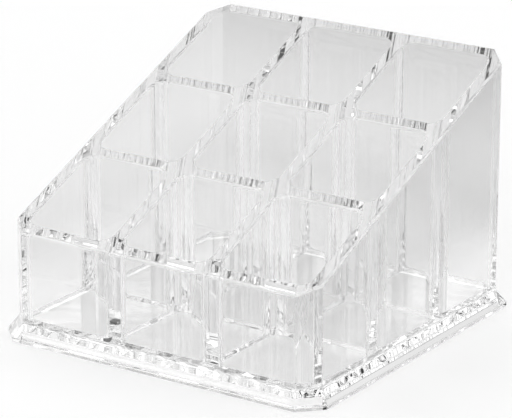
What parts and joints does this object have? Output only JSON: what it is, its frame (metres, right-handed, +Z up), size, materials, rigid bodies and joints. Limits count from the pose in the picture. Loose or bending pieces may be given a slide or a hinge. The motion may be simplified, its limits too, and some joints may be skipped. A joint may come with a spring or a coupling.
{
  "type": "vanity organizer",
  "caption": "Clear free-standing vanity organizer: open upright cells under a sloping rim, on a bevelled base plate, for lipsticks, brushes and small bottles.",
  "frame": {"origin": "middle of the base plate's underside, on the surface that the organizer stands on", "axes": "+X to the right, +Y to the back, where the rim is highest, +Z up; the low front faces -Y"},
  "size_m": [0.0938, 0.0958, 0.0661],
  "materials": {
    "clear_body": "clear polished moulding",
    "clear_plate": "clear polished plate with bevelled edges"
  },
  "bodies": {
    "root": {"cell_body": "clear_body", "base_plate": "clear_plate"}
  },
  "joints": []
}
